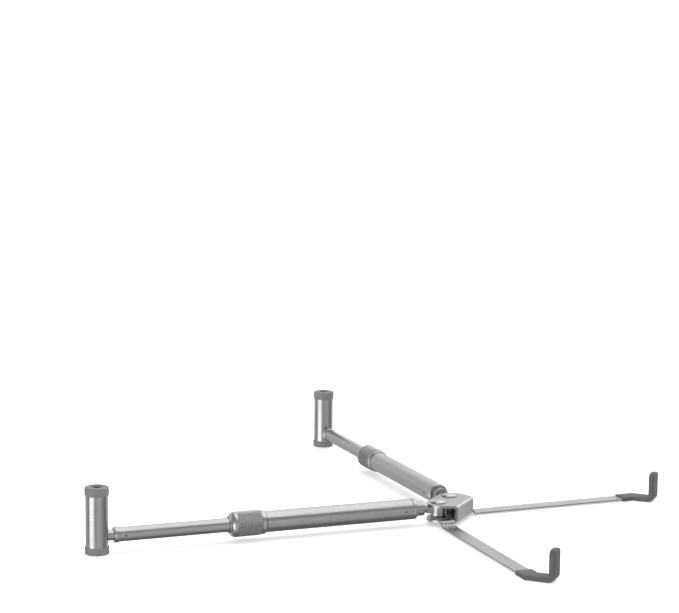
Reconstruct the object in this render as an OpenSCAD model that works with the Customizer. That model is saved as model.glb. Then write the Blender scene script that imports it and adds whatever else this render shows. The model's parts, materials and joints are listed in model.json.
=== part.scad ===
// Folding laptop stand: an X of two telescopic arms with posts and two steel strips with hooks.
// Units are millimetres. +Z is up, the desk is z = 0, the posts are at the rear (+Y) and the
// hooks at the front (-Y). The left side is the mirror image of the right side.

/* [Overall] */
// Distance between the axes of the two posts
post_spacing = 275.5; // [250:0.5:300]
// Angle of each arm, outwards from straight back
arm_angle = 45; // [30:1:60]
// Angle of each strip, outwards from straight forward
strip_angle = 46; // [45:1:60]

/* [Hub] */
// Distance between the two rivets
rivet_spacing = 16; // [15.5:0.5:20]
// Height of the underside of the bracket above the desk
hub_low = 1.8; // [1.6:0.1:2.2]
// Outside height of the bracket
hub_height = 9.1; // [9.1:0.1:9.6]
// Thickness of the bracket's sheet
sheet = 1.3; // [1:0.1:1.3]
// Radius of the bracket's round ends
hub_end_r = 7.8; // [7.4:0.1:8]
// Width of the front wall of the bracket
web_width = 23; // [20:0.5:23]
// Distance from the rivets to the outside of the front wall
web_reach = 12.4; // [12:0.1:13]
// Diameter of a rivet's shank
rivet_d = 4.4; // [4:0.1:4.6]
// Diameter of a rivet's domed head
rivet_head_d = 9; // [8:0.1:9.4]
// Height of a rivet's domed head
rivet_head_h = 1.5; // [1.3:0.1:2.2]

/* [Arms] */
// Height of the arm's axis above the desk
axis_z = 8.6; // [8.5:0.1:9]
// Outside diameter of the outer tube
tube_d = 10.8; // [10.6:0.1:10.8]
// Bore of the outer tube
tube_bore = 9.1; // [9.1:0.1:9.1]
// Distance from the rivet to the near end of the outer tube
tube_start = 13.6; // [13.4:0.1:14]
// Distance from the rivet to the shoulder at the far end of the outer tube
tube_end = 96.4; // [90:0.1:96.4]
// Diameter of the knuckle's neck
neck_d = 7.8; // [7:0.1:7.8]
// Diameter of the locking collar
collar_d = 13; // [12.6:0.1:13]
// Outside diameter of the inner rod
rod_d = 7.2; // [7.2:0.1:7.2]
// Bore of the inner rod
rod_bore = 5.2; // [4.8:0.1:5.4]

/* [Posts] */
// Height of a post with its caps
post_h = 33.5; // [30:0.5:45]
// Diameter of a post's body
post_d = 11.2; // [10.8:0.1:11.6]
// Diameter of the rubber caps
cap_d = 12; // [11.8:0.1:12.6]
// Height of the top cap
top_cap_h = 4.2; // [4:0.1:5]
// Height of the bottom cap
bottom_cap_h = 3.6; // [3.4:0.1:4]
// Diameter of the neck between the inner rod and the post
stud_d = 5.2; // [4.8:0.1:5.4]

/* [Strips and hooks] */
// Width of a strip
strip_w = 8; // [7.6:0.1:8.4]
// Thickness of a strip
strip_t = 0.8; // [0.7:0.05:0.9]
// Length of the straight run, from the rivet to the bend
strip_run = 111.5; // [111:0.1:114]
// Length from the bend to the middle of the upright
hook_run = 11.5; // [11:0.1:14]
// Height of the strip's underside above the desk
strip_low = 0.7; // [0.6:0.05:0.9]
// Width of a rubber hook
hook_w = 9.2; // [9:0.1:10]
// Thickness of a rubber hook's upright
hook_t = 3; // [2.6:0.1:3.2]
// Height of a rubber hook
hook_h = 15.8; // [15:0.1:20]
// Height of a rubber hook's base
hook_base = 2.2; // [2.2:0.1:3]
// Length of the hook's sleeve along the strip's straight run
sleeve_back = 8.5; // [6:0.5:10]

/* [Hidden] */
$fn = 64;

// Clearances
gap = 0.04;
run_gap = 0.08;
cut = 1;

// Plan of the arms and strips
rivet_x = rivet_spacing / 2;
arm_len = (post_spacing / 2 - rivet_x) / sin(arm_angle);
front_reach = strip_run * cos(strip_angle) + hook_run + hook_t / 2;
rear_reach = arm_len * cos(arm_angle) + cap_d / 2;
hub_y = (front_reach - rear_reach) / 2;

// Levels inside the hub, from the bottom plate up
hub_top = hub_low + hub_height;
strip_high = hub_low + sheet + gap;
washer_low = strip_high + strip_t + gap;
washer_t = 0.38;
tang_low = washer_low + washer_t + gap;
spring_washer_t = 0.42;
spring_washer_low = hub_top - sheet - gap - spring_washer_t;
tang_high = spring_washer_low - gap;
rivet_low_head_h = 0.5;
bend_r = 2;

// Stations along the arm, measured from the rivet
tang_w = 8.4;
neck_start = 9.1;
throat_start = 6.8;
throat_d = 5;
spigot_end = tube_start + 13.4;
tube_pin_at = tube_start + 7;
thread_d = 10;
thread_end = tube_end + 5.8;
collar_start = tube_end + 0.2;
knurl_start = collar_start + 2.6;
shoulder_start = knurl_start + 13;
shoulder_len = 2.6;
collar_end = shoulder_start + shoulder_len + 0.8;
collet_start = thread_end + gap;
collet_end = collet_start + 10.6;
bush_len = 6;
bush_end = collet_start - 4.2;
rod_start = bush_end - bush_len - 0.4;
ring_t = 2.4;
ring_d = 7.9;
ring_start = arm_len - post_d / 2 - 2.8 - ring_t;
rod_pin_at = ring_start - 3;
pin_d = 1.2;

// Caps and screws
screw_d = 2.4;
screw_head_d = 3.3;
screw_head_h = 1.2;
screw_pocket_d = 3.6;
screw_hole_d = 2.6;
cap_recess_d = 6;
cap_recess = 0.35;
top_screw_at = post_h - 2.3;
bottom_screw_at = 2.3;

// Strips and hooks
joggle_start = 11.8;
joggle_end = 13.9;
tab_w = strip_w - 1.6;
tab_top = hook_h - 3;
hook_chamfer = 1.6;

// Colours
brushed_steel = [0.72, 0.73, 0.74];
polished_steel = [0.82, 0.83, 0.84];
anodised = [0.78, 0.79, 0.81];
dark_steel = [0.35, 0.36, 0.38];
rubber = [0.36, 0.37, 0.38];

// Draws its children on the right side, or mirrored on the left side
module on_side(side) {
    mirror([side == "left" ? 1 : 0, 0, 0]) children();
}

// Arm frame: +X runs outwards along the right arm from the rivet
module in_arm() {
    translate([rivet_x, hub_y, 0]) rotate([0, 0, 90 - arm_angle]) children();
}

// Strip frame: +X runs outwards along the right strip from the rivet
module in_strip() {
    translate([rivet_x, hub_y, 0]) rotate([0, 0, strip_angle - 90]) children();
}

// Hook frame: +X runs forwards from the bend of the right strip
module in_hook() {
    in_strip() translate([strip_run, 0, 0]) rotate([0, 0, -strip_angle]) children();
}

// Round bar along the arm's axis between two stations
module bar(from, to, d) {
    translate([from, 0, axis_z]) rotate([0, 90, 0]) cylinder(h = to - from, d = d);
}

// Turned piece about the arm's axis; each point is [station, radius]
module turned(points) {
    translate([0, 0, axis_z]) rotate([0, 90, 0])
        rotate_extrude() polygon([for (p = points) [p[1], p[0]]]);
}

// Round hole or pin across the arm, level with the desk
module across(at, d, length) {
    translate([at, 0, axis_z]) rotate([90, 0, 0]) cylinder(h = length, d = d, center = true);
}

// Box between two corners
module block(low, high) {
    translate(low) cube(high - low);
}

// Domed cap of a sphere on a disc of diameter d
module dome(d, h) {
    r = (d * d / 4 + h * h) / (2 * h);
    intersection() {
        translate([0, 0, h - r]) sphere(r = r);
        cylinder(h = h, d = d);
    }
}

// Outline of the bracket from above, about the middle of the rivets
module hub_outline() {
    end_y = -1.8;
    for (s = [-1, 1]) translate([s * rivet_x, end_y]) circle(r = hub_end_r);
    translate([-rivet_x, end_y - hub_end_r]) square([2 * rivet_x, 2 * hub_end_r]);
    shoulder = rivet_x + hub_end_r * 0.8;
    polygon([[-web_width / 2, -web_reach], [web_width / 2, -web_reach],
        [shoulder, end_y - hub_end_r * 0.6], [-shoulder, end_y - hub_end_r * 0.6]]);
}

// Side view of the folded sheet: a U on its side, closed at the front; x is depth, y is height
module hub_profile() {
    inner_r = bend_r - sheet;
    difference() {
        rounded_front(0, hub_low, hub_top, bend_r);
        rounded_front(sheet, hub_low + sheet, hub_top - sheet, inner_r);
    }
}

// Slab from the front wall to far behind, with its two front corners rounded
module rounded_front(inset, low, high, r) {
    front = -web_reach + inset;
    for (y = [low + r, high - r]) translate([front + r, y]) circle(r = r);
    translate([front, low + r]) square([r, high - low - 2 * r]);
    translate([front + r, low]) square([3 * web_reach, high - low]);
}

module hub_bracket() {
    color(brushed_steel) translate([0, hub_y, 0]) difference() {
        intersection() {
            rotate([90, 0, 90]) translate([0, 0, -30]) linear_extrude(60) hub_profile();
            linear_extrude(20) hub_outline();
        }
        for (s = [-1, 1]) translate([s * rivet_x, 0, 0]) cylinder(h = 20, d = rivet_d + gap);
    }
}

module rivet() {
    shank_low = hub_low - rivet_low_head_h / 2;
    color(polished_steel) translate([rivet_x, hub_y, 0]) {
        translate([0, 0, hub_top]) dome(rivet_head_d, rivet_head_h);
        translate([0, 0, shank_low]) cylinder(h = hub_top - shank_low + 0.5, d = rivet_d);
        translate([0, 0, hub_low]) rotate([180, 0, 0]) dome(rivet_head_d - 2.5, rivet_low_head_h);
    }
}

module ring_washer(low, t) {
    translate([rivet_x, hub_y, low]) difference() {
        cylinder(h = t, d = tang_w);
        translate([0, 0, -cut]) cylinder(h = t + 2 * cut, d = rivet_d + 2 * run_gap);
    }
}

module washer() {
    color(dark_steel) ring_washer(washer_low, washer_t);
}

module spring_washer() {
    color(dark_steel) ring_washer(spring_washer_low, spring_washer_t);
}

module knuckle() {
    color(anodised) in_arm() difference() {
        union() {
            translate([0, 0, tang_low]) cylinder(h = tang_high - tang_low, d = tang_w);
            block([0, -throat_d / 2, axis_z - throat_d / 2],
                [throat_start + 0.6, throat_d / 2, tang_high]);
            bar(throat_start, neck_start, throat_d);
            bar(neck_start, tube_start, neck_d);
            bar(tube_start, spigot_end, tube_bore - 2 * gap);
        }
        translate([0, 0, tang_low - cut])
            cylinder(h = tang_high - tang_low + 2 * cut, d = rivet_d + 2 * run_gap);
        across(tube_pin_at, pin_d + gap, tube_d + 2 * cut);
    }
}

module tube_pin() {
    color(dark_steel) in_arm() across(tube_pin_at, pin_d, tube_d - 0.7);
}

module outer_tube() {
    r = tube_d / 2;
    groove = tube_start + 2;
    color(anodised) in_arm() difference() {
        turned([[tube_start, tube_bore / 2], [tube_start, r - 0.4], [tube_start + 0.4, r],
            [groove, r], [groove + 0.25, r - 0.3], [groove + 0.5, r],
            [tube_end - 0.3, r], [tube_end, r - 0.3], [tube_end, thread_d / 2],
            [thread_end, thread_d / 2], [thread_end, tube_bore / 2]]);
        across(tube_pin_at, pin_d + gap, tube_d + 2 * cut);
    }
}

module collet() {
    slit = 0.5;
    color(polished_steel) in_arm() difference() {
        turned([[collet_start, rod_d / 2 + gap], [collet_start, 4.9], [collet_start + 2.2, 4.9],
            [collet_start + 2.2, 4.4], [collet_end - 2.8, 4.4], [collet_end, 4],
            [collet_end, rod_d / 2 + gap]]);
        for (a = [45, 135]) translate([0, 0, axis_z]) rotate([a, 0, 0])
            block([collet_start + 4, -slit / 2, -6], [collet_end + cut, slit / 2, 6]);
    }
}

module collar() {
    r = collar_d / 2;
    thread_r = thread_d / 2 + run_gap;
    ring_r = r - 0.4;
    nose_r = 4.4;
    color(anodised) in_arm() turned(concat([[collar_start, thread_r], [collar_start, ring_r - 0.3],
        [collar_start + 0.3, ring_r], [knurl_start - 0.3, ring_r], [knurl_start - 0.3, ring_r - 0.3],
        [knurl_start, ring_r - 0.3], [knurl_start + 0.4, r]],
        [for (a = [0:15:90])
            [shoulder_start + shoulder_len * sin(a), nose_r + (r - nose_r) * cos(a)]],
        [[collar_end, nose_r], [collar_end, 3.8], [collar_end - 1.1, 3.8], [collar_end - 5.1, 4.75],
        [collet_start + 2.6, 4.75], [collet_start + 2.6, thread_r]]));
}

module inner_rod() {
    color(anodised) in_arm() difference() {
        bar(rod_start, ring_start, rod_d);
        bar(rod_start - cut, ring_start + cut, rod_bore);
        across(rod_pin_at, pin_d + gap, rod_d + 2 * cut);
    }
}

module guide_bush() {
    color(dark_steel) in_arm() difference() {
        bar(bush_end - bush_len, bush_end, tube_bore - 0.1);
        bar(rod_start - cut, collet_end, rod_d + gap);
    }
}

module post_stud() {
    color(anodised) in_arm() difference() {
        union() {
            bar(ring_start - 12, ring_start, rod_bore - gap);
            turned([[ring_start, 0], [ring_start, ring_d / 2 - 0.3], [ring_start + 0.3, ring_d / 2],
                [ring_start + ring_t - 0.3, ring_d / 2], [ring_start + ring_t, ring_d / 2 - 0.3],
                [ring_start + ring_t, 0]]);
            bar(ring_start + ring_t, arm_len + 2.6, stud_d);
        }
        across(rod_pin_at, pin_d + gap, rod_d + 2 * cut);
        translate([arm_len, 0, 0]) cylinder(h = axis_z + 0.6, d = screw_hole_d);
    }
}

module rod_pin() {
    color(dark_steel) in_arm() across(rod_pin_at, pin_d, rod_d - 0.6);
}

// Post frame: on the post's axis, at the desk
module in_post() {
    in_arm() translate([arm_len, 0, 0]) children();
}

module post() {
    low = bottom_cap_h;
    high = post_h - top_cap_h;
    color(anodised) difference() {
        in_post() translate([0, 0, low]) cylinder(h = high - low, d = post_d);
        in_post() cylinder(h = axis_z, d = screw_hole_d);
        in_post() translate([0, 0, high - 9]) cylinder(h = 9 + cut, d = screw_hole_d);
        in_arm() bar(arm_len - post_d, arm_len + 2.8, stud_d + gap);
    }
}

// Rubber cap of height h standing on z = 0 with its open pocket for the screw on top
module cap(h, floor_h) {
    r = cap_d / 2;
    edge = 0.6;
    rotate_extrude() polygon([[screw_hole_d / 2, 0], [r - 0.2, 0], [r, 0.2], [r, h - edge],
        [r - edge * 0.3, h - edge * 0.3], [r - edge, h], [cap_recess_d / 2, h],
        [cap_recess_d / 2, h - cap_recess], [screw_pocket_d / 2, h - cap_recess],
        [screw_pocket_d / 2, floor_h], [screw_hole_d / 2, floor_h]]);
}

module top_cap() {
    color(rubber) in_post() translate([0, 0, post_h - top_cap_h])
        cap(top_cap_h, top_screw_at - (post_h - top_cap_h));
}

module bottom_cap() {
    color(rubber) in_post() translate([0, 0, bottom_cap_h]) rotate([180, 0, 0])
        cap(bottom_cap_h, bottom_cap_h - bottom_screw_at);
}

// Screw with its head standing on z = 0 and its shank below
module screw(shank) {
    difference() {
        union() {
            cylinder(h = screw_head_h, d = screw_head_d);
            translate([0, 0, -shank]) cylinder(h = shank, d = screw_d);
        }
        translate([0, 0, screw_head_h - 0.7]) cylinder(h = 0.7 + cut, d = 1.7, $fn = 6);
    }
}

module top_screw() {
    color(dark_steel) in_post() translate([0, 0, top_screw_at]) screw(9);
}

module bottom_screw() {
    color(dark_steel) in_post() translate([0, 0, bottom_screw_at]) rotate([180, 0, 0])
        screw(axis_z - bottom_screw_at);
}

// Sheet part of a hook, with room added all round for its pocket
module hook_tongue(room) {
    block([-2, -tab_w / 2 - room, strip_low - room],
        [hook_run + strip_t / 2 + room, tab_w / 2 + room, strip_low + strip_t + room]);
    block([hook_run - strip_t / 2 - room, -tab_w / 2 - room, strip_low - room],
        [hook_run + strip_t / 2 + room, tab_w / 2 + room, tab_top + room]);
}

module strip() {
    steep = 0.35;
    color(polished_steel) {
        in_strip() difference() {
            union() {
                translate([0, 0, strip_high]) cylinder(h = strip_t, d = strip_w);
                rotate([90, 0, 0]) linear_extrude(strip_w, center = true)
                    polygon([[0, strip_high], [joggle_start, strip_high],
                        [joggle_end, strip_low], [strip_run, strip_low],
                        [strip_run, strip_low + strip_t], [joggle_end + steep, strip_low + strip_t],
                        [joggle_start + steep, strip_high + strip_t], [0, strip_high + strip_t]]);
                translate([strip_run, 0, strip_low]) cylinder(h = strip_t, d = strip_w);
            }
            translate([0, 0, strip_high - cut])
                cylinder(h = strip_t + 2 * cut, d = rivet_d + 2 * run_gap);
        }
        in_hook() hook_tongue(0);
    }
}

// Front view of the hook's upright, with its top corners cut off
module upright_outline() {
    w = hook_w / 2;
    c = hook_chamfer;
    polygon([[-w, 0], [w, 0], [w, hook_h - c], [w - c, hook_h], [c - w, hook_h], [-w, hook_h - c]]);
}

module hook_pad() {
    r = hook_w / 2;
    color(rubber) difference() {
        union() {
            in_strip() block([strip_run - sleeve_back, -r, 0], [strip_run, r, hook_base]);
            in_hook() cylinder(h = hook_base, r = r);
            in_hook() block([0, -r, 0], [hook_run, r, hook_base]);
            in_hook() translate([hook_run - hook_t / 2, 0, 0]) rotate([90, 0, 90])
                linear_extrude(hook_t) upright_outline();
        }
        in_hook() hook_tongue(gap);
        in_strip() strip_room();
    }
}

// Room in the sleeve for the end of the strip's straight run
module strip_room() {
    r = strip_w / 2 + gap;
    low = strip_low - gap;
    high = strip_low + strip_t + gap;
    block([strip_run - sleeve_back - cut, -r, low], [strip_run, r, high]);
    translate([strip_run, 0, low]) cylinder(h = high - low, r = r);
}

hub_bracket();
on_side("left") rivet();  // left_rivet
on_side("right") rivet();  // right_rivet
on_side("left") washer();  // left_washer
on_side("right") washer();  // right_washer
on_side("left") spring_washer();  // left_spring_washer
on_side("right") spring_washer();  // right_spring_washer
on_side("left") knuckle();  // left_knuckle
on_side("right") knuckle();  // right_knuckle
on_side("left") tube_pin();  // left_tube_pin
on_side("right") tube_pin();  // right_tube_pin
on_side("left") outer_tube();  // left_outer_tube
on_side("right") outer_tube();  // right_outer_tube
on_side("left") collet();  // left_collet
on_side("right") collet();  // right_collet
on_side("left") collar();  // left_collar
on_side("right") collar();  // right_collar
on_side("left") inner_rod();  // left_inner_rod
on_side("right") inner_rod();  // right_inner_rod
on_side("left") guide_bush();  // left_guide_bush
on_side("right") guide_bush();  // right_guide_bush
on_side("left") post_stud();  // left_post_stud
on_side("right") post_stud();  // right_post_stud
on_side("left") rod_pin();  // left_rod_pin
on_side("right") rod_pin();  // right_rod_pin
on_side("left") post();  // left_post
on_side("right") post();  // right_post
on_side("left") top_cap();  // left_top_cap
on_side("right") top_cap();  // right_top_cap
on_side("left") bottom_cap();  // left_bottom_cap
on_side("right") bottom_cap();  // right_bottom_cap
on_side("left") top_screw();  // left_top_screw
on_side("right") top_screw();  // right_top_screw
on_side("left") bottom_screw();  // left_bottom_screw
on_side("right") bottom_screw();  // right_bottom_screw
on_side("left") strip();  // left_strip
on_side("right") strip();  // right_strip
on_side("left") hook_pad();  // left_hook_pad
on_side("right") hook_pad();  // right_hook_pad
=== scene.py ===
"""Looks of a folding laptop stand: satin tubes, knurled collars, a steel bracket and rubber hooks."""

import json
import math

import bmesh
import bpy
from mathutils import Matrix, Vector


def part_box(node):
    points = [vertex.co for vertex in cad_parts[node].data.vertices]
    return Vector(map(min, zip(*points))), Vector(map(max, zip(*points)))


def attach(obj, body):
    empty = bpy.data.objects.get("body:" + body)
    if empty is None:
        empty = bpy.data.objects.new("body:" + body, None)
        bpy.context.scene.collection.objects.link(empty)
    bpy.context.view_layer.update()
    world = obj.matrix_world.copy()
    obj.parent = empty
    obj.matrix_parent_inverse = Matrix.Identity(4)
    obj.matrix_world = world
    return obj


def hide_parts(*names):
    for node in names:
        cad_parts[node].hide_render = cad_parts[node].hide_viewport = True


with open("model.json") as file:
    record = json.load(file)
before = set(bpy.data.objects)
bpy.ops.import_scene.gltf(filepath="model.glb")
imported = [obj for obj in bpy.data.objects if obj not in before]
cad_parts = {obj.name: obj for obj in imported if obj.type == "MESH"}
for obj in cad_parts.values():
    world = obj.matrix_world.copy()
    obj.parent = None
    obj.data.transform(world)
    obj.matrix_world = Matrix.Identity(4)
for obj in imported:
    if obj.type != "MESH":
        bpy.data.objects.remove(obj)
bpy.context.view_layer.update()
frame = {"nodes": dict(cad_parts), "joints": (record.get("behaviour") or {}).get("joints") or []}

MM = 0.001
SIDES = ("left", "right")
JOINTS = {joint["name"]: joint for joint in frame["joints"]}
STRIP_ANGLE = 46  # degrees between a strip and straight forward

# Sizes are in millimetres.
STRIP_THICKNESS = 0.8
BRACKET_SHEET = 1.3
BRACKET_GAP = 0.04
JOGGLE_START = 11.8
JOGGLE_END = 14.1
RIVET_HOLE_RADIUS = 2.28
DRILL_DEPTH = 40
STRIP_EDGE = 0.18
LINE_CENTRES = (2.1, 0.5, -1.6)
LINE_DEPTH = 0.16
HOOK_WIDTH = 9.2
HOOK_BASE = 2.2
HOOK_UPRIGHT = 3.0
HOOK_CHAMFER = 1.6
HEEL_INNER_RADIUS = 0.6
SLEEVE_BACK = 8.5
RUBBER_ROUND = 0.55
COLLAR_RING = 2.6
KNURL_LENGTH = 13
SHOULDER_LENGTH = 2.6
NOSE_RADIUS = 4.4
COLLAR_ROUND = 0.12
THREAD_BORE_RADIUS = 5.1
TAPER_BORE_RADIUS = 4.75
ROD_HOLE_RADIUS = 3.8
KNURL_PITCH = 1.2
KNURL_DEPTH = 0.32
KNURL_FADE = 0.4

# Counts.
KNURL_TEETH = 36
POINTS_PER_TOOTH = 7


# ---------------------------------------------------------------- local frames

def local_frame(origin, along):
    """Matrix of a frame at origin with +X along a level direction and +Z up."""
    x_axis = Vector(along).normalized()
    z_axis = Vector((0, 0, 1))
    matrix = Matrix((x_axis, z_axis.cross(x_axis), z_axis)).transposed().to_4x4()
    matrix.translation = Vector(origin)
    return matrix


def side_sign(side):
    return -1 if side == "left" else 1


def arm_frame(side):
    """+X runs outwards along the arm's axis, from above its rivet."""
    rivet = JOINTS[f"{side}_arm_fold"]["pos_m"]
    turn = JOINTS[f"{side}_post_turn"]
    return local_frame((rivet[0], rivet[1], turn["pos_m"][2]), turn["axis"])


def strip_frame(side):
    """+X runs outwards along the strip, from its rivet, at desk level."""
    rivet = JOINTS[f"{side}_leg_fold"]["pos_m"]
    angle = math.radians(STRIP_ANGLE)
    along = (side_sign(side) * math.sin(angle), -math.cos(angle), 0)
    return local_frame((rivet[0], rivet[1], 0), along)


def span(node, matrix):
    """Lowest and highest corners of a CAD node, in millimetres, in a local frame."""
    back = matrix.inverted()
    points = [back @ v.co for v in frame["nodes"][node].data.vertices]
    low = Vector([min(p[i] for p in points) for i in range(3)]) / MM
    high = Vector([max(p[i] for p in points) for i in range(3)]) / MM
    return low, high


# ---------------------------------------------------------------- mesh helpers

def new_piece(name, verts, faces, matrix, body, sharp=35):
    """A smooth-shaded piece from points in millimetres in a local frame, riding on a body."""
    mesh = bpy.data.meshes.new(name)
    mesh.from_pydata([Vector(v) * MM for v in verts], [], faces)
    work = bmesh.new()
    work.from_mesh(mesh)
    bmesh.ops.remove_doubles(work, verts=work.verts, dist=1e-7)
    bmesh.ops.recalc_face_normals(work, faces=work.faces)
    work.to_mesh(mesh)
    work.free()
    mesh.shade_smooth()
    mesh.set_sharp_from_angle(angle=math.radians(sharp))
    piece = bpy.data.objects.new(name, mesh)
    bpy.context.scene.collection.objects.link(piece)
    piece.matrix_world = matrix
    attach(piece, body)
    return piece


def rounded(points, radius, steps):
    """An outline with each inner corner turned into a small curve."""
    out = [Vector(points[0])]
    for before, here, after in zip(points, points[1:], points[2:]):
        corner = Vector(here)
        back, ahead = Vector(before) - corner, Vector(after) - corner
        reach = min(radius, back.length * 0.45, ahead.length * 0.45)
        start = corner + back.normalized() * reach
        end = corner + ahead.normalized() * reach
        for k in range(steps + 1):
            t = k / steps
            out.append(start * (1 - t) ** 2 + corner * 2 * t * (1 - t) + end * t ** 2)
    out.append(Vector(points[-1]))
    return out


def lathe(name, profile, matrix, body, segments, relief):
    """Turns [station, radius] points about +X. relief(station, radius, turn) lowers the surface."""
    verts = []
    for station, radius in profile:
        for k in range(segments):
            turn = k / segments
            r = radius - relief(station, radius, turn)
            angle = 2 * math.pi * turn
            verts.append((station, r * math.cos(angle), r * math.sin(angle)))
    faces = []
    for ring in range(len(profile) - 1):
        a, b = ring * segments, (ring + 1) * segments
        for k in range(segments):
            n = (k + 1) % segments
            faces.append((a + k, b + k, b + n, a + n))
    return new_piece(name, verts, faces, matrix, body)


def loft(name, sections, matrix, body, sharp):
    """A closed solid through sections, each a ring of the same number of points."""
    count = len(sections[0])
    verts = [p for ring in sections for p in ring]
    faces = []
    for i in range(len(sections) - 1):
        for k in range(count):
            n = (k + 1) % count
            faces.append((i * count + k, (i + 1) * count + k, (i + 1) * count + n, i * count + n))
    faces.append(tuple(range(count))[::-1])
    faces.append(tuple((len(sections) - 1) * count + k for k in range(count)))
    return new_piece(name, verts, faces, matrix, body, sharp)


def smoothstep(t):
    t = min(1.0, max(0.0, t))
    return t * t * (3 - 2 * t)


# ---------------------------------------------------------------- materials

def shader(name):
    material = bpy.data.materials.new(name)
    material.use_nodes = True
    nodes = material.node_tree.nodes
    return material, nodes, material.node_tree.links, nodes["Principled BSDF"]


def noise(nodes, links, vector, scale, detail):
    """Noise on a vector whose parts are each multiplied by scale."""
    stretch = nodes.new("ShaderNodeMapping")
    stretch.inputs["Scale"].default_value = scale
    links.new(vector, stretch.inputs["Vector"])
    texture = nodes.new("ShaderNodeTexNoise")
    texture.inputs["Scale"].default_value = 1
    texture.inputs["Detail"].default_value = detail
    links.new(stretch.outputs["Vector"], texture.inputs["Vector"])
    return texture.outputs["Fac"]


def ranged(nodes, links, value, low, high, start=0.3, end=0.7):
    """Maps a value between start and end to the range from low to high."""
    node = nodes.new("ShaderNodeMapRange")
    for key, number in (("From Min", start), ("From Max", end), ("To Min", low), ("To Max", high)):
        node.inputs[key].default_value = number
    links.new(value, node.inputs["Value"])
    return node.outputs["Result"]


def tinted(nodes, links, value, dark, light):
    """Mixes two colours by a noise value."""
    ramp = nodes.new("ShaderNodeValToRGB")
    ramp.color_ramp.elements[0].position = 0.3
    ramp.color_ramp.elements[1].position = 0.7
    ramp.color_ramp.elements[0].color = (*dark, 1)
    ramp.color_ramp.elements[1].color = (*light, 1)
    links.new(value, ramp.inputs["Fac"])
    return ramp.outputs["Color"]


def bumped(nodes, links, height, surface, strength, distance):
    bump = nodes.new("ShaderNodeBump")
    bump.inputs["Strength"].default_value = strength
    bump.inputs["Distance"].default_value = distance
    links.new(height, bump.inputs["Height"])
    links.new(bump.outputs["Normal"], surface.inputs["Normal"])


def shaded(nodes, links, surface, factor):
    """Scales a surface's colour by a socket."""
    tone = nodes.new("ShaderNodeVectorMath")
    tone.operation = "SCALE"
    links.new(surface.inputs["Base Color"].links[0].from_socket, tone.inputs[0])
    links.new(factor, tone.inputs["Scale"])
    links.new(tone.outputs["Vector"], surface.inputs["Base Color"])


def place(nodes, links):
    """X, Y and Z of a point in the piece's own coordinates, in metres."""
    parts = nodes.new("ShaderNodeSeparateXYZ")
    links.new(nodes.new("ShaderNodeTexCoord").outputs["Object"], parts.inputs[0])
    return parts.outputs


def coords(nodes, links, along):
    """Object coordinates turned so that X runs along a level direction."""
    source = nodes.new("ShaderNodeTexCoord").outputs["Object"]
    turn = nodes.new("ShaderNodeMapping")
    turn.inputs["Rotation"].default_value = (0, 0, -math.atan2(along[1], along[0]))
    links.new(source, turn.inputs["Vector"])
    return turn.outputs["Vector"]


def metal(name, color, roughness, along, grain, grain_bump=0.05, spread=0.05):
    """Metal with a fine directional grain, uneven sheen and a faint change of tone."""
    material, nodes, links, surface = shader(name)
    surface.inputs["Metallic"].default_value = 1.0
    vector = coords(nodes, links, along)
    fine = noise(nodes, links, vector, grain, 3)
    cloud = noise(nodes, links, vector, (60, 60, 60), 3)
    dark = [c * 0.93 for c in color]
    light = [min(1, c * 1.05) for c in color]
    links.new(tinted(nodes, links, fine, dark, light), surface.inputs["Base Color"])
    low, high = roughness - spread, roughness + spread
    links.new(ranged(nodes, links, cloud, low, high), surface.inputs["Roughness"])
    bumped(nodes, links, fine, surface, grain_bump, 0.0001)
    return material


def rubber(name, color):
    """Soft matt rubber with a fine moulded grain and slightly paler dust."""
    material, nodes, links, surface = shader(name)
    surface.inputs["Specular IOR Level"].default_value = 0.5
    vector = coords(nodes, links, (1, 0))
    grain = noise(nodes, links, vector, (4200, 4200, 4200), 2)
    cloud = noise(nodes, links, vector, (160, 160, 160), 4)
    dark = [c * 0.86 for c in color]
    light = [c * 1.14 for c in color]
    links.new(tinted(nodes, links, cloud, dark, light), surface.inputs["Base Color"])
    links.new(ranged(nodes, links, cloud, 0.42, 0.58), surface.inputs["Roughness"])
    bumped(nodes, links, grain, surface, 0.25, 0.00006)
    return material


def rivet_metal_with_painted_shade():
    """Polished steel with painted shade: its colour darkens towards where a rivet head meets the bracket,
    standing in for the shadow in that gap.
    """
    material = metal("rivet_steel_with_painted_shade", (0.66, 0.665, 0.67), 0.17, (1, 0), (700, 700, 700), 0.03, 0.03)
    nodes, links = material.node_tree.nodes, material.node_tree.links
    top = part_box("hub_bracket")[1].z
    # Painted shade: the colour is scaled from 0.2 just above the bracket's top up to 1.0 higher on the
    # rivet head.
    edge = ranged(nodes, links, place(nodes, links)["Z"], 0.2, 1.0, top + 0.15 * MM, top + 0.75 * MM)
    shaded(nodes, links, nodes["Principled BSDF"], edge)
    return material


def sideways(side):
    """Level direction of an arm, for the grain of its metal."""
    axis = JOINTS[f"{side}_post_turn"]["axis"]
    return axis[0], axis[1]


ALUMINIUM = (0.60, 0.605, 0.615)
TURNED_GRAIN = (3800, 120, 120)
satin = {side: metal(f"satin_aluminium_{side}", ALUMINIUM, 0.27, sideways(side), TURNED_GRAIN)
         for side in SIDES}
post_satin = metal("post_aluminium", ALUMINIUM, 0.26, (1, 0), (120, 120, 3800))
bracket_steel = metal("bracket_steel", (0.54, 0.545, 0.55), 0.3, (1, 0), (150, 4200, 4200), 0.1)
strip_steel = metal("strip_steel", (0.55, 0.555, 0.56), 0.27, (1, 0), (70, 3600, 3600), 0.16)
rivet_steel_painted_shade = rivet_metal_with_painted_shade()
collet_steel = metal("collet_steel", (0.64, 0.645, 0.65), 0.2, (1, 0), (700, 700, 700), 0.03, 0.03)
dark_steel = metal("dark_steel", (0.20, 0.205, 0.21), 0.36, (1, 0), (900, 900, 900), 0.06)
cap_rubber = rubber("cap_rubber", (0.19, 0.19, 0.193))
hook_rubber = rubber("hook_rubber", (0.088, 0.09, 0.093))


# ---------------------------------------------------------------- carried-over CAD nodes

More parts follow.
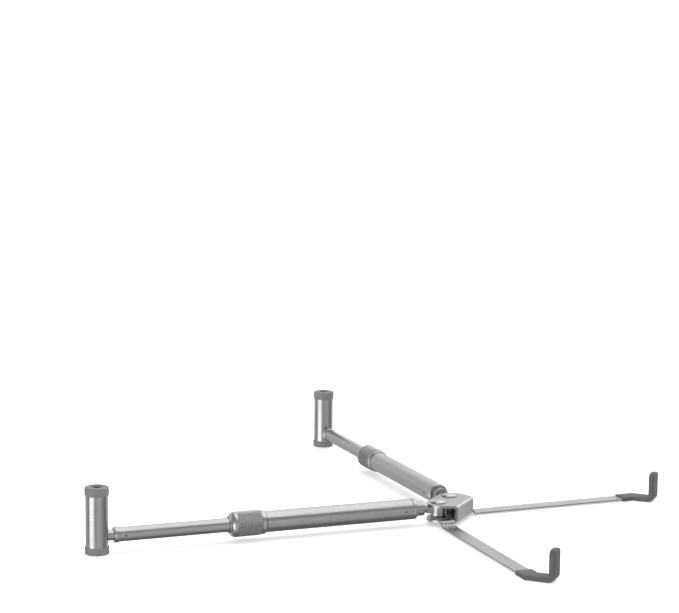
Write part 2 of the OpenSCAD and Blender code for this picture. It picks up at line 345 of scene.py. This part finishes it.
def dress(node, material):
    """Gives a CAD node its material."""
    slots = frame["nodes"][node].data.materials
    slots.clear()
    slots.append(material)


def dress_side(side):
    for part in ("knuckle", "outer_tube", "inner_rod", "post_stud"):
        dress(f"{side}_{part}", satin[side])
    dress(f"{side}_post", post_satin)
    dress(f"{side}_collet", collet_steel)
    for part in ("washer", "spring_washer", "guide_bush", "tube_pin", "rod_pin",
                 "top_screw", "bottom_screw"):
        dress(f"{side}_{part}", dark_steel)
    dress(f"{side}_rivet", rivet_steel_painted_shade)
    for part in ("top_cap", "bottom_cap"):
        dress(f"{side}_{part}", cap_rubber)


# ---------------------------------------------------------------- collar

def maths(nodes, links, operation, first, second):
    """Math node fed by sockets or numbers."""
    node = nodes.new("ShaderNodeMath")
    node.operation = operation
    for socket, value in zip(node.inputs, (first, second)):
        if isinstance(value, (int, float)):
            socket.default_value = value
        else:
            links.new(value, socket)
    return node.outputs[0]


def knurled_metal_painted_light(side, knurl_start, shoulder):
    """Satin aluminium with painted light in the knurl: painted shade darkens the grooves and a painted
    highlight brightens the peaks.
    """
    material = metal(f"knurled_aluminium_painted_light_{side}", ALUMINIUM, 0.27, (1, 0), (900, 900, 900), 0.05)
    nodes, links = material.node_tree.nodes, material.node_tree.links

    def calc(operation, first, second):
        return maths(nodes, links, operation, first, second)

    point = place(nodes, links)
    station = calc("DIVIDE", point["X"], MM)
    along = calc("DIVIDE", calc("SUBTRACT", station, knurl_start), KNURL_PITCH)
    turn = calc("ARCTAN2", point["Z"], point["Y"])
    around = calc("MULTIPLY", turn, KNURL_TEETH / (2 * math.pi))
    lines = [calc("PINGPONG", calc(operation, around, along), 0.5) for operation in ("ADD", "SUBTRACT")]
    peak = calc("MULTIPLY", calc("MINIMUM", *lines), 2)
    before = calc("GREATER_THAN", knurl_start, station)
    after = calc("GREATER_THAN", station, shoulder)
    plain = calc("MAXIMUM", before, after)
    # Painted light: the colour is scaled from 0.42 in the knurl's grooves (painted shade) to 1.3 on its
    # peaks (painted highlight), and left as it is off the knurl.
    painted_groove_shade_peak_highlight = calc("MAXIMUM", ranged(nodes, links, peak, 0.42, 1.3, 0.05, 0.55), plain)
    shaded(nodes, links, nodes["Principled BSDF"], painted_groove_shade_peak_highlight)
    return material


def ridge(t):
    """0 in a groove and 1 halfway between two grooves."""
    return 1 - abs(2 * (t % 1) - 1)


def collar_profile(start, end, radius):
    """Outline of the collar and its bore, as [station, radius] points."""
    knurl_start = start + COLLAR_RING
    shoulder = knurl_start + KNURL_LENGTH
    nose = shoulder + SHOULDER_LENGTH
    outer = [(start, THREAD_BORE_RADIUS), (start, radius - 0.7), (start + 0.3, radius - 0.4),
             (knurl_start - 0.4, radius - 0.4), (knurl_start - 0.4, radius - 0.8),
             (knurl_start, radius - 0.8), (knurl_start + 0.01, radius - 0.3),
             (knurl_start + 0.35, radius - 0.02)]
    profile = rounded(outer, COLLAR_ROUND, 2)
    step = KNURL_PITCH / POINTS_PER_TOOTH
    for k in range(int((KNURL_LENGTH - KNURL_FADE) / step) + 1):
        profile.append(Vector((knurl_start + KNURL_FADE + k * step, radius)))
    for k in range(1, 10):
        turn = math.pi / 2 * k / 9
        profile.append(Vector((shoulder + SHOULDER_LENGTH * math.sin(turn),
                               NOSE_RADIUS + (radius - NOSE_RADIUS) * math.cos(turn))))
    lip = [(nose, NOSE_RADIUS), (nose + 0.12, NOSE_RADIUS - 0.25), (nose + 0.24, NOSE_RADIUS),
           (end, NOSE_RADIUS), (end, ROD_HOLE_RADIUS), (end - 1.1, ROD_HOLE_RADIUS),
           (start + 14, TAPER_BORE_RADIUS), (start + 8.5, THREAD_BORE_RADIUS),
           (start, THREAD_BORE_RADIUS)]
    return profile + rounded(lip, COLLAR_ROUND, 2)[1:]


def collar(side):
    """Locking collar with a plain ring, a diamond knurl, a convex shoulder and a nose ring."""
    matrix = arm_frame(side)
    low, high = span(f"{side}_collar", matrix)
    start, end, radius = low.x, high.x, high.z
    knurl_start = start + COLLAR_RING
    shoulder = knurl_start + KNURL_LENGTH

    def relief(station, here, turn):
        inside = min(station - knurl_start, shoulder - station)
        if inside <= 0 or here < radius - 0.05:
            return 0
        along = (station - knurl_start) / KNURL_PITCH
        around = turn * KNURL_TEETH
        peak = min(ridge(around + along), ridge(around - along), 0.8) / 0.8
        return KNURL_DEPTH * (1 - peak) * smoothstep(inside / KNURL_FADE)

    piece = lathe(f"{side}_knurled_collar", collar_profile(start, end, radius), matrix,
                  f"{side}_lock", KNURL_TEETH * POINTS_PER_TOOTH, relief)
    piece.data.materials.append(knurled_metal_painted_light(side, knurl_start, shoulder))
    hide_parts(f"{side}_collar")


# ---------------------------------------------------------------- strip

def strip_section(half_width, low, high, station):
    """Ring of points across the strip: rounded edges and shallow lines in its upper face."""
    edge = STRIP_EDGE
    points = [(half_width, low + edge), (half_width, high - edge), (half_width - edge, high)]
    for centre in LINE_CENTRES:
        for offset, depth in ((0.36, 0), (0.14, LINE_DEPTH), (-0.14, LINE_DEPTH), (-0.36, 0)):
            y = min(half_width - edge, max(edge - half_width, centre + offset))
            points.append((y, high - depth))
    points += [(edge - half_width, high), (-half_width, high - edge), (-half_width, low + edge),
               (edge - half_width, low), (half_width - edge, low)]
    return [(station, y, z) for y, z in points]


def drill(piece, matrix, radius, sharp=50):
    """Cuts an upright round hole through a piece, at the origin of a local frame."""
    work = bmesh.new()
    bmesh.ops.create_cone(work, cap_ends=True, segments=48, radius1=radius * MM,
                          radius2=radius * MM, depth=DRILL_DEPTH * MM)
    mesh = bpy.data.meshes.new("drill")
    work.to_mesh(mesh)
    work.free()
    cutter = bpy.data.objects.new("drill", mesh)
    cutter.matrix_world = matrix
    bpy.context.scene.collection.objects.link(cutter)
    hole = piece.modifiers.new("hole", "BOOLEAN")
    hole.operation = "DIFFERENCE"
    hole.solver = "EXACT"
    hole.object = cutter
    bpy.context.view_layer.update()
    evaluated = piece.evaluated_get(bpy.context.evaluated_depsgraph_get())
    piece.data = bpy.data.meshes.new_from_object(evaluated)
    piece.data.set_sharp_from_angle(angle=math.radians(sharp))
    piece.modifiers.clear()
    bpy.data.objects.remove(cutter)


def strip(side):
    """Flat steel strip with a rivet hole, a joggle beside the hub and round ends."""
    matrix = strip_frame(side)
    low = span(f"{side}_strip", matrix)[0]
    half = -low.x
    rise = span("hub_bracket", matrix)[0].z + BRACKET_SHEET + BRACKET_GAP - low.z
    run = bend_station(side)

    stations = [-half * math.cos(math.pi / 2 * k / 10) for k in range(10)]
    stations += [0, 5, JOGGLE_START - 0.6]
    stations += [JOGGLE_START - 0.4 + (JOGGLE_END - JOGGLE_START + 0.8) * k / 14 for k in range(15)]
    stations += [JOGGLE_END + (run - JOGGLE_END) * k / 12 for k in range(1, 13)]
    stations += [run + half * math.sin(math.pi / 2 * k / 10) for k in range(1, 10)]
    sections = []
    for x in stations:
        over = max(-x, x - run, 0)
        width = max(0.5, math.sqrt(max(0, half * half - over * over)))
        drop = smoothstep((x - JOGGLE_START) / (JOGGLE_END - JOGGLE_START))
        z = low.z + rise * (1 - drop)
        sections.append(strip_section(width, z, z + STRIP_THICKNESS, x))
    piece = loft(f"{side}_steel_strip", sections, matrix, f"{side}_leg", 50)
    drill(piece, matrix, RIVET_HOLE_RADIUS)
    piece.data.materials.append(strip_steel)
    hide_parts(f"{side}_strip")


# ---------------------------------------------------------------- rubber hook

def hook_frame(side):
    """+X runs straight forward from the strip's bend, at desk level."""
    low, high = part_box(f"{side}_hook_pad")
    rivet = JOINTS[f"{side}_leg_fold"]["pos_m"]
    sign = side_sign(side)
    outer = (high.x if sign > 0 else low.x) - sign * HOOK_WIDTH / 2 * MM
    bend_y = rivet[1] - abs(outer - rivet[0]) / math.tan(math.radians(STRIP_ANGLE))
    return local_frame((outer, bend_y, 0), (0, -1, 0))


def bend_station(side):
    """Distance from the rivet to the strip's bend, in millimetres."""
    rivet = JOINTS[f"{side}_leg_fold"]["pos_m"]
    bend = hook_frame(side).translation
    return math.hypot(bend.x - rivet[0], bend.y - rivet[1]) / MM


FORWARD, UPWARD = Vector((1, 0, 0)), Vector((0, 0, 1))


def cushion_ring(half_width, half_thick, corner, steps=3):
    """Points round a rectangle with soft corners, as (across, through) pairs."""
    ring = []
    for y_sign, z_sign, first in ((1, -1, -90), (1, 1, 0), (-1, 1, 90), (-1, -1, 180)):
        for k in range(steps + 1):
            turn = math.radians(first + 90 * k / steps)
            ring.append((y_sign * (half_width - corner) + corner * math.cos(turn),
                         z_sign * (half_thick - corner) + corner * math.sin(turn)))
    return ring


def section(centre, ahead, through, half_width, half_thick):
    """Ring of a soft-cornered rectangle that faces ahead, with its thickness along through."""
    across = through.cross(ahead).normalized()
    ring = cushion_ring(half_width, half_thick, min(RUBBER_ROUND, half_thick * 0.9))
    return [centre + across * y + through * z for y, z in ring]


def sleeve_sections(sign, half):
    """From the sleeve's back end, along the strip, to the mitre at the bend."""
    angle = math.radians(STRIP_ANGLE)
    along = Vector((math.cos(angle), sign * math.sin(angle), 0))
    mid = UPWARD * HOOK_BASE / 2
    ends = ((SLEEVE_BACK, 0.4), (SLEEVE_BACK - 0.25, 0.15), (SLEEVE_BACK - 0.7, 0), (2.5, 0))
    sections = [section(mid - along * back, along, UPWARD, half - shrink, HOOK_BASE / 2 - shrink * 0.8)
                for back, shrink in ends]
    mitre = half / math.cos(angle / 2)
    return sections + [section(mid, along + FORWARD, UPWARD, mitre, HOOK_BASE / 2)]


def heel_sections(pivot, half):
    """Straight base and a quarter turn that grows from the base's thickness to the upright's."""
    mid = UPWARD * HOOK_BASE / 2
    sections = [section(mid + FORWARD * x, FORWARD, UPWARD, half, HOOK_BASE / 2)
                for x in (2.5, pivot.x - 0.05)]
    for k in range(9):
        turn = math.pi / 2 * (k / 8 - 1)
        outward = Vector((math.cos(turn), 0, math.sin(turn)))
        outer = pivot + Vector((outward.x * (HOOK_UPRIGHT + HEEL_INNER_RADIUS), 0,
                                outward.z * (HOOK_BASE + HEEL_INNER_RADIUS)))
        through = pivot + outward * HEEL_INNER_RADIUS - outer
        ahead = Vector((-outward.z, 0, outward.x))
        sections.append(section(outer + through / 2, ahead, through.normalized(), half, through.length / 2))
    return sections


def upright_sections(front, top, half):
    """Upright with two cut top corners and a soft top edge."""
    stem = FORWARD * (front - HOOK_UPRIGHT / 2)
    slim = HOOK_UPRIGHT / 2
    levels = ((top - HOOK_CHAMFER, half, slim), (top - 0.35, half - HOOK_CHAMFER + 0.35, slim),
              (top - 0.1, half - HOOK_CHAMFER, slim - 0.12), (top, half - HOOK_CHAMFER - 0.3, slim - 0.4))
    return [section(stem + UPWARD * z, UPWARD, -FORWARD, half_width, half_thick)
            for z, half_width, half_thick in levels]


def hook(side):
    """Rubber hook: a sleeve that follows the strip's bend, a round heel and an upright."""
    matrix = hook_frame(side)
    high = span(f"{side}_hook_pad", matrix)[1]
    half = HOOK_WIDTH / 2
    pivot = Vector((high.x - HOOK_UPRIGHT - HEEL_INNER_RADIUS, 0, HOOK_BASE + HEEL_INNER_RADIUS))
    sections = sleeve_sections(side_sign(side), half) + heel_sections(pivot, half)
    sections += upright_sections(high.x, high.z, half)
    piece = loft(f"{side}_rubber_hook", sections, matrix, f"{side}_leg", 30)
    piece.data.materials.append(hook_rubber)
    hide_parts(f"{side}_hook_pad")


# ---------------------------------------------------------------- stage

CAMERA_ANGLES = (-156.761, 8.620, 0.634)  # degrees: azimuth and elevation of the camera's back, and roll
CAMERA_FROM_HUB = Vector((-1.0345, -0.3834, 0.2795))
STUDIO_GREY = ((0.0, 0.16), (0.30, 0.18), (0.45, 0.17), (0.52, 0.28), (0.70, 0.24), (1.0, 0.28))
SOFTBOXES = (  # direction, reach and softness in degrees, strength
    ((0.32, -0.22, 0.92), 36, 12, 0.95),
    ((0.93, 0.36, 0.22), 28, 12, 0.60),
    ((0.90, -0.23, 0.38), 13, 6, 1.0),
    ((-0.90, 0.44, -0.20), 21, 12, 1.45),
    ((-0.37, -0.90, -0.30), 34, 16, 0.16),
    ((0.37, 0.90, -0.10), 36, 18, 0.34),
    ((-0.93, -0.36, -0.25), 50, 20, 0.20),
    ((0.90, -0.35, -0.25), 20, 9, 0.50),
)


def make_camera():
    """Long lens, from the left and slightly in front, a little above the desk."""
    data = bpy.data.cameras.new("camera")
    data.sensor_width = 36
    data.lens = 114.1
    data.clip_start, data.clip_end = 0.05, 200
    camera = bpy.data.objects.new("camera", data)
    azimuth, elevation, roll = (math.radians(a) for a in CAMERA_ANGLES)
    back = Vector((math.cos(azimuth) * math.cos(elevation),
                   math.sin(azimuth) * math.cos(elevation), math.sin(elevation)))
    level = Vector((0, 0, 1)).cross(back).normalized()
    right = level * math.cos(roll) + back.cross(level) * math.sin(roll)
    matrix = Matrix((right, back.cross(right), back)).transposed().to_4x4()
    hub_y = JOINTS["left_arm_fold"]["pos_m"][1]
    matrix.translation = Vector((0, hub_y, 0)) + CAMERA_FROM_HUB
    camera.matrix_world = matrix
    bpy.context.scene.collection.objects.link(camera)
    bpy.context.scene.camera = camera


def make_floor():
    """Pale floor. Polished metal sees past it into the darker studio below."""
    mesh = bpy.data.meshes.new("floor")
    size = 60
    mesh.from_pydata([(-size, -size, 0), (size, -size, 0), (size, size, 0), (-size, size, 0)],
                     [], [(0, 1, 2, 3)])
    floor = bpy.data.objects.new("floor", mesh)
    floor.location.z = -0.0002
    floor.visible_glossy = False
    bpy.context.scene.collection.objects.link(floor)
    material, _, _, surface = shader("floor")
    surface.inputs["Base Color"].default_value = (0.80, 0.80, 0.80, 1)
    surface.inputs["Emission Color"].default_value = (1, 1, 1, 1)
    surface.inputs["Emission Strength"].default_value = 0.45
    surface.inputs["Roughness"].default_value = 1.0
    surface.inputs["Specular IOR Level"].default_value = 0.0
    mesh.materials.append(material)


def make_backdrop():
    """White dome that only the camera sees."""
    mesh = bpy.data.meshes.new("backdrop")
    work = bmesh.new()
    bmesh.ops.create_uvsphere(work, u_segments=32, v_segments=16, radius=80)
    work.to_mesh(mesh)
    work.free()
    dome = bpy.data.objects.new("backdrop", mesh)
    for kind in ("diffuse", "glossy", "transmission", "volume_scatter", "shadow"):
        setattr(dome, f"visible_{kind}", False)
    bpy.context.scene.collection.objects.link(dome)
    material, _, _, surface = shader("backdrop")
    surface.inputs["Base Color"].default_value = (0, 0, 0, 1)
    surface.inputs["Specular IOR Level"].default_value = 0.0
    surface.inputs["Emission Color"].default_value = (1, 1, 1, 1)
    surface.inputs["Emission Strength"].default_value = 1.0
    mesh.materials.append(material)


def soft_sun(name, towards, strength, angle):
    """Even light from a wide patch of sky. It isn't mirrored in the metal."""
    data = bpy.data.lights.new(name, "SUN")
    data.energy = strength
    data.angle = math.radians(angle)
    light = bpy.data.objects.new(name, data)
    light.rotation_euler = Vector(towards).to_track_quat("Z", "Y").to_euler()
    light.visible_glossy = False
    bpy.context.scene.collection.objects.link(light)


def softbox(nodes, links, direction, towards, reach, soft, strength):
    """Brightness of a round softbox: strength within reach degrees of a direction."""
    dot = nodes.new("ShaderNodeVectorMath")
    dot.operation = "DOT_PRODUCT"
    dot.inputs[1].default_value = Vector(towards).normalized()
    links.new(direction, dot.inputs[0])
    edge = nodes.new("ShaderNodeMapRange")
    edge.interpolation_type = "SMOOTHSTEP"
    edge.inputs["From Min"].default_value = math.cos(math.radians(reach + soft))
    edge.inputs["From Max"].default_value = math.cos(math.radians(max(0, reach - soft)))
    edge.inputs["To Max"].default_value = strength
    links.new(dot.outputs["Value"], edge.inputs["Value"])
    return edge.outputs["Result"]


def make_world():
    """Studio seen in the metal: dim below, grey around, softboxes above and at the sides."""
    world = bpy.data.worlds.new("studio")
    bpy.context.scene.world = world
    world.use_nodes = True
    nodes, links = world.node_tree.nodes, world.node_tree.links
    direction = nodes.new("ShaderNodeTexCoord").outputs["Generated"]
    height = nodes.new("ShaderNodeSeparateXYZ")
    links.new(direction, height.inputs[0])
    level = nodes.new("ShaderNodeMapRange")
    level.inputs["From Min"].default_value = -1
    links.new(height.outputs["Z"], level.inputs["Value"])
    ramp = nodes.new("ShaderNodeValToRGB")
    steps = ramp.color_ramp.elements
    while len(steps) < len(STUDIO_GREY):
        steps.new(0.5)
    for step, (position, value) in zip(steps, STUDIO_GREY):
        step.position = position
        step.color = (value, value, value * 1.01, 1)
    links.new(level.outputs["Result"], ramp.inputs["Fac"])
    total = ramp.outputs["Color"]
    for towards, reach, soft, strength in SOFTBOXES:
        add = nodes.new("ShaderNodeVectorMath")
        links.new(total, add.inputs[0])
        links.new(softbox(nodes, links, direction, towards, reach, soft, strength), add.inputs[1])
        total = add.outputs["Vector"]
    links.new(total, nodes["Background"].inputs["Color"])


def make_lights():
    soft_sun("key", (0.55, -0.15, 0.85), 1.1, 50)
    soft_sun("fill", (-0.4, 0.3, 0.9), 1.3, 110)
    make_world()


for side in SIDES:
    dress_side(side)
    collar(side)
    strip(side)
    hook(side)
dress("hub_bracket", bracket_steel)

make_camera()
make_floor()
make_backdrop()
make_lights()
bpy.context.scene.view_settings.view_transform = "Standard"
